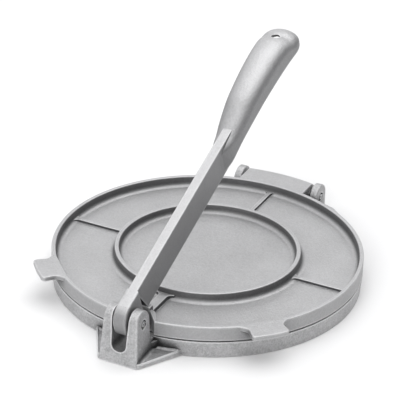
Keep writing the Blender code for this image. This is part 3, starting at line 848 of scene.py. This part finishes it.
def makePin(name, node, start, end, place, s, material):
    # a sheet of spring steel rolled up: out along one face and back along the other
    radius = press["pinRadius"]
    outer = []
    inner = []
    for step in range(round(s["turns"] * s["stepsPerTurn"]) + 1):
        turns = step / s["stepsPerTurn"]
        angle = turns * math.tau
        r = radius * (1 - turns * (s["sheetShare"] + s["gapShare"]))
        outer.append(Vector((r * math.cos(angle), r * math.sin(angle))))
        r -= radius * s["sheetShare"]
        inner.append(Vector((r * math.cos(angle), r * math.sin(angle))))
    pin = drawnPiece(name, outer + inner[::-1], start, end, sideView, s["edge"])
    pin.location = (0, *place)
    finishPiece(pin, name, node, "base", material)


# camera, fitted to the outlines of the two plates
cameraSettings = {
    "azimuth": 25.273,
    "elevation": 27.999,
    "roll": 1.984,
    "distance": 1.42177,
    "lens": 195.08,
    "sensor": 36,
    "nearClip": 0.05,
    "farClip": 20,
    "right": -0.00614,
    "up": 0.04937,
    "forward": 0.00085,
}


def makeCamera(s):
    a = math.radians(s["azimuth"])
    e = math.radians(s["elevation"])
    r = math.radians(s["roll"])
    back = Vector((math.sin(a) * math.cos(e), -math.cos(a) * math.cos(e), math.sin(e)))
    right = Vector((math.cos(a), math.sin(a), 0))
    up = back.cross(right)
    place = back * s["distance"] + right * s["right"] + up * s["up"] + Vector((0, s["forward"], 0))
    turnedRight = right * math.cos(r) + up * math.sin(r)
    turnedUp = up * math.cos(r) - right * math.sin(r)
    turn = Matrix((turnedRight, turnedUp, back)).transposed().to_4x4()
    bpy.ops.object.camera_add(location=place)
    camera = bpy.context.object
    camera.name = "photoCamera"
    camera.matrix_world = Matrix.Translation(place) @ turn
    camera.data.sensor_width = s["sensor"]
    camera.data.lens = s["lens"]
    camera.data.clip_start = s["nearClip"]
    camera.data.clip_end = s["farClip"]
    bpy.context.scene.camera = camera


# studio: a pale floor, a sky that is brighter behind and above, and soft lamps
studio = {
    "floorSize": 8.0,
    "floorColour": (0.9, 0.9, 0.9, 1),
    "floorRoughness": 0.7,
    "floorSpecular": 0.2,
    "floorGap": 0.0001,  # the floor lies this far under the press
    "skyAxis": (-0.38, 0.22, 0.90),
    "skyStops": ((0.0, 0.12), (0.45, 0.18), (0.66, 0.34), (0.85, 0.97), (1.0, 0.90)),
    "skyTint": 1.01,
    "skyStrength": 1.1,
    "keyPlace": (0.30, 0.30, 1.9),
    "keySize": 2.4,
    "keyPower": 15.5,
    "frontPlace": (0.1, -1.8, 0.9),
    "frontSize": 1.0,
    "frontPower": 14,
}


def addLamp(name, place, size, power):
    bpy.ops.object.light_add(type="AREA", location=place)
    lamp = bpy.context.object
    lamp.name = name
    lamp.data.shape = "DISK"
    lamp.data.size = size
    lamp.data.energy = power
    lamp.rotation_euler = (-Vector(place)).to_track_quat("-Z", "Y").to_euler()


def makeStudio(s):
    bpy.ops.mesh.primitive_plane_add(size=s["floorSize"], location=(0, 0, -s["floorGap"]))
    floor = bpy.context.object
    floor.name = "studioFloor"
    material = bpy.data.materials.new("studioFloor")
    material.use_nodes = True
    shader = material.node_tree.nodes["Principled BSDF"]
    shader.inputs["Base Color"].default_value = s["floorColour"]
    shader.inputs["Roughness"].default_value = s["floorRoughness"]
    shader.inputs["Specular IOR Level"].default_value = s["floorSpecular"]
    floor.data.materials.append(material)
    world = bpy.data.worlds.new("studioSky")
    bpy.context.scene.world = world
    world.use_nodes = True
    nodes = world.node_tree.nodes
    links = world.node_tree.links
    sky = nodes["Background"]
    sky.inputs["Strength"].default_value = s["skyStrength"]
    place = nodes.new("ShaderNodeTexCoord")
    lean = nodes.new("ShaderNodeVectorMath")
    lean.operation = "DOT_PRODUCT"
    lean.inputs[1].default_value = Vector(s["skyAxis"]).normalized()
    height = nodes.new("ShaderNodeMapRange")
    height.inputs["From Min"].default_value = -1
    ramp = nodes.new("ShaderNodeValToRGB")
    stops = ramp.color_ramp.elements
    for index, (at, tone) in enumerate(s["skyStops"]):
        stop = stops[index] if index < 2 else stops.new(at)
        stop.position = at
        stop.color = (tone, tone, tone * s["skyTint"], 1)
    links.new(place.outputs["Generated"], lean.inputs[0])
    links.new(lean.outputs["Value"], height.inputs["Value"])
    links.new(height.outputs[0], ramp.inputs[0])
    links.new(ramp.outputs[0], sky.inputs["Color"])
    addLamp("keyLamp", s["keyPlace"], s["keySize"], s["keyPower"])
    addLamp("frontLamp", s["frontPlace"], s["frontSize"], s["frontPower"])


# finishes: the sides keep the skin from the mould, darkened further as painted shade; the tops are lighter
# as rubbed metal and as painted light, the edges as wear and as a painted highlight; hollows get painted
# shade
castings = {
    "skin": (0.47, 0.47, 0.475, 1),
    "groundlit": (0.50, 0.50, 0.505, 1),
    "edge": (0.85, 0.85, 0.855, 1),
    "recess": (0.025, 0.025, 0.0255, 1),
    "mottle": 0.55,
    "shadeReach": 0.009,
    "edgeReach": 0.0012,
    "cornerRadius": 0.0005,
    "grainDepth": 0.0006,
    "metallic": 0.8,
}

# the lid and the lever differ from the base only in these values
lidFinish = dict(castings)
lidFinish.update({
    "skin": (0.42, 0.42, 0.425, 1),
    "groundlit": (0.51, 0.51, 0.515, 1),
    "recess": (0.09, 0.09, 0.092, 1),
    "mottle": 0.22,
    "shadeReach": 0.02,
})

leverFinish = dict(castings)
leverFinish.update({
    "skin": (0.31, 0.31, 0.315, 1),
    "groundlit": (0.56, 0.56, 0.565, 1),
    "edge": (0.75, 0.75, 0.755, 1),
    "mottle": 0.16,
})

# spring steel, with a roughness of its own
pinFinish = {
    "skin": (0.90, 0.90, 0.91, 1),
    "groundlit": (0.90, 0.90, 0.91, 1),
    # the edge tone is a painted highlight with wear, the recess tone painted shade
    "edge": (0.98, 0.98, 0.99, 1),
    "recess": (0.02, 0.02, 0.02, 1),
    "mottle": 0.3,
    "shadeReach": 0.0012,
    "edgeReach": 0.0003,
    "cornerRadius": 0.0001,
    "grainDepth": 0.00004,
    "metallic": 1.0,
    "roughness": 0.28,
}

# what all the metals share
skinLook = {
    "cloudScale": 45,
    "patchScale": 380,
    "sandScale": 900,
    "detail": 3,
    "patchRoughness": 0.6,
    "sandRoughness": 0.7,
    "speck": 2.2,
    "upStart": 0.42,  # how far a face turns up before it gets the top tone: rubbed metal and painted light
    "upFull": 0.95,
    "edgeGain": 2.4,
    "edgeShare": 0.75,
    "hollowShadeGain": 2.8,
    "topShadeLift": 0.95,  # how much of the painted shade in hollows is left off the faces that turn up
    "deepStart": 0.47,
    "deepGain": 4.0,
    "roughness": 0.46,
    "roughnessSwing": 0.16,
    "roughnessTop": -0.1,
    "coarse": 0.6,
    "bump": 0.6,
    "hollowSamples": 8,
    "cornerSamples": 6,
}


def addMath(nodes, links, operation, first, second, clamp=False):
    node = nodes.new("ShaderNodeMath")
    node.operation = operation
    node.use_clamp = clamp
    for socket, value in zip(node.inputs, (first, second)):
        if isinstance(value, (int, float)):
            socket.default_value = value
        else:
            links.new(value, socket)
    return node.outputs[0]


def addMix(nodes, links, share, first, second):
    node = nodes.new("ShaderNodeMix")
    node.data_type = "RGBA"
    for name, value in (("Factor_Float", share), ("A_Color", first), ("B_Color", second)):
        links.new(value, next(socket for socket in node.inputs if socket.identifier == name))
    return next(socket for socket in node.outputs if socket.identifier == "Result_Color")


def addNoise(nodes, links, place, scale, detail, roughness=0.5):
    node = nodes.new("ShaderNodeTexNoise")
    node.inputs["Scale"].default_value = scale
    node.inputs["Detail"].default_value = detail
    node.inputs["Roughness"].default_value = roughness
    links.new(place, node.inputs["Vector"])
    return node.outputs["Fac"]


def makeCastSkinAndPaintedLight(s):
    # cast metal: sandy grain, cloudy tone, rubbed tops with painted light where it faces up, edge wear with
    # a painted highlight, and painted shade in the hollows
    group = bpy.data.node_groups.new("castSkinAndPaintedLight", "ShaderNodeTree")
    face = group.interface
    for way, name, kind in (
            ("INPUT", "Place", "Vector"), ("INPUT", "Facing", "Float"), ("INPUT", "Open", "Float"),
            ("INPUT", "Core", "Float"), ("INPUT", "Skin", "Color"), ("INPUT", "Groundlit", "Color"),
            ("INPUT", "Edge", "Color"), ("INPUT", "Recess", "Color"), ("INPUT", "Mottle", "Float"),
            ("OUTPUT", "Colour", "Color"), ("OUTPUT", "Roughness", "Float"), ("OUTPUT", "Height", "Float")):
        face.new_socket(name=name, in_out=way, socket_type="NodeSocket" + kind)
    nodes = group.nodes
    links = group.links
    given = nodes.new("NodeGroupInput").outputs
    result = nodes.new("NodeGroupOutput").inputs
    place = given["Place"]

    def calc(operation, first, second, clamp=False):
        return addMath(nodes, links, operation, first, second, clamp)

    cloud = addNoise(nodes, links, place, s["cloudScale"], s["detail"])
    patch = addNoise(nodes, links, place, s["patchScale"], s["detail"], s["patchRoughness"])
    sand = addNoise(nodes, links, place, s["sandScale"], s["detail"], s["sandRoughness"])
    up = nodes.new("ShaderNodeMapRange")
    up.interpolation_type = "SMOOTHSTEP"
    up.inputs["From Min"].default_value = s["upStart"]
    up.inputs["From Max"].default_value = s["upFull"]
    links.new(given["Facing"], up.inputs["Value"])
    facingUp = up.outputs[0]
    # faces that turn up get the top tone, rubbed metal and painted light; the rest get the side tone, cast
    # skin and painted shade
    tone = addMix(nodes, links, facingUp, given["Skin"], given["Groundlit"])
    # clouds and patches lighten and darken the tone
    swing = calc("MULTIPLY", calc("SUBTRACT", calc("ADD", cloud, patch), 1.0), given["Mottle"])
    speck = calc("MULTIPLY", calc("SUBTRACT", sand, 0.5), s["speck"])
    speck = calc("MULTIPLY", speck, given["Mottle"])
    gain = calc("ADD", calc("ADD", swing, speck), 1.0)
    scale = nodes.new("ShaderNodeVectorMath")
    scale.operation = "SCALE"
    links.new(tone, scale.inputs[0])
    links.new(gain, scale.inputs["Scale"])
    # edges, where there is little metal behind the surface, are made bright: edge wear and a painted
    # highlight
    edgeWearAndHighlight = calc("MULTIPLY", calc("SUBTRACT", 1.0, given["Core"]), s["edgeGain"], True)
    wornAndHighlit = addMix(nodes, links, calc("MULTIPLY", edgeWearAndHighlight, s["edgeShare"]), scale.outputs[0], given["Edge"])
    # painted shade: sides get dark in the hollows, and deep gaps are dark whichever way they face
    closed = calc("MULTIPLY", calc("SUBTRACT", 1.0, given["Open"]), s["hollowShadeGain"], True)
    side = calc("SUBTRACT", 1.0, calc("MULTIPLY", facingUp, s["topShadeLift"]))
    deepShade = calc("MULTIPLY", calc("SUBTRACT", s["deepStart"], given["Open"]), s["deepGain"], True)
    paintedShade = calc("MAXIMUM", calc("MULTIPLY", closed, side), deepShade)
    links.new(addMix(nodes, links, paintedShade, wornAndHighlit, given["Recess"]), result["Colour"])
    wear = calc("MULTIPLY", facingUp, s["roughnessTop"])
    rough = calc("ADD", calc("MULTIPLY", patch, s["roughnessSwing"]), s["roughness"])
    links.new(calc("ADD", rough, wear), result["Roughness"])
    links.new(calc("ADD", calc("MULTIPLY", patch, s["coarse"]), sand), result["Height"])
    return group


def metalMaterial(name, group, s):
    material = bpy.data.materials.new(name)
    material.use_nodes = True
    nodes = material.node_tree.nodes
    links = material.node_tree.links
    shader = nodes["Principled BSDF"]
    shader.inputs["Metallic"].default_value = s["metallic"]
    place = nodes.new("ShaderNodeTexCoord")
    parts = nodes.new("ShaderNodeSeparateXYZ")
    links.new(place.outputs["Normal"], parts.inputs[0])
    # an outward AO: the mask of the painted shade in hollows and gaps
    hollowShade = nodes.new("ShaderNodeAmbientOcclusion")
    hollowShade.samples = skinLook["hollowSamples"]
    hollowShade.only_local = True
    hollowShade.inputs["Distance"].default_value = s["shadeReach"]
    # an inward AO: finds the edges that get wear and a painted highlight
    core = nodes.new("ShaderNodeAmbientOcclusion")
    core.samples = skinLook["hollowSamples"]
    core.inside = True
    core.only_local = True
    core.inputs["Distance"].default_value = s["edgeReach"]
    skin = nodes.new("ShaderNodeGroup")
    skin.node_tree = group
    links.new(place.outputs["Object"], skin.inputs["Place"])
    links.new(parts.outputs["Z"], skin.inputs["Facing"])
    links.new(hollowShade.outputs["AO"], skin.inputs["Open"])
    links.new(core.outputs["AO"], skin.inputs["Core"])
    # the side tone carries painted shade, the top tone painted light, the edge tone a painted highlight
    # with wear, the recess tone painted shade
    for socket in ("Skin", "Groundlit", "Edge", "Recess", "Mottle"):
        skin.inputs[socket].default_value = s[socket.lower()]
    corner = nodes.new("ShaderNodeBevel")
    corner.samples = skinLook["cornerSamples"]
    corner.inputs["Radius"].default_value = s["cornerRadius"]
    bump = nodes.new("ShaderNodeBump")
    bump.inputs["Strength"].default_value = skinLook["bump"]
    bump.inputs["Distance"].default_value = s["grainDepth"]
    links.new(skin.outputs["Height"], bump.inputs["Height"])
    links.new(corner.outputs[0], bump.inputs["Normal"])
    links.new(skin.outputs["Colour"], shader.inputs["Base Color"])
    if "roughness" in s:
        shader.inputs["Roughness"].default_value = s["roughness"]
    else:
        links.new(skin.outputs["Roughness"], shader.inputs["Roughness"])
    links.new(bump.outputs[0], shader.inputs["Normal"])
    return material


bpy.ops.object.select_all(action="DESELECT")
makeCamera(cameraSettings)
makeStudio(studio)
print("camera and studio ready")

castSkinAndPaintedLight = makeCastSkinAndPaintedLight(skinLook)
baseCasting = metalMaterial("baseCasting", castSkinAndPaintedLight, castings)
lidCasting = metalMaterial("lidCasting", castSkinAndPaintedLight, lidFinish)
leverCasting = metalMaterial("leverCasting", castSkinAndPaintedLight, leverFinish)
pinSteel = metalMaterial("pinSteel", castSkinAndPaintedLight, pinFinish)
makeBase(baseParts, baseCasting)
makeLid(lidParts, lidCasting)
makeLever(leverParts, leverCasting)

# the pins run from face to face of the castings: the fork is narrower at the pin than at its foot
narrower = (baseParts["forkFootHalfWidth"] - baseParts["forkTopHalfWidth"]) * press["leverPinZ"]
forkReach = baseParts["forkFootHalfWidth"] - narrower / baseParts["forkTop"] + pinParts["proud"]
earReach = baseParts["earOuterX"] + pinParts["proud"]
lugInner = lidParts["wingHalfWidth"] - lidParts["lugWidth"]
forkPlace = (press["leverPinY"], press["leverPinZ"])
hingePlace = (press["hingeY"], press["hingeZ"])
makePin("leverPin", "lever_pin", -forkReach, forkReach, forkPlace, pinParts, pinSteel)
makePin("hingePinRight", "hinge_pin_right", lugInner, earReach, hingePlace, pinParts, pinSteel)
makePin("hingePinLeft", "hinge_pin_left", -earReach, -lugInner, hingePlace, pinParts, pinSteel)

view = bpy.context.scene.view_settings
view.view_transform = "Standard"
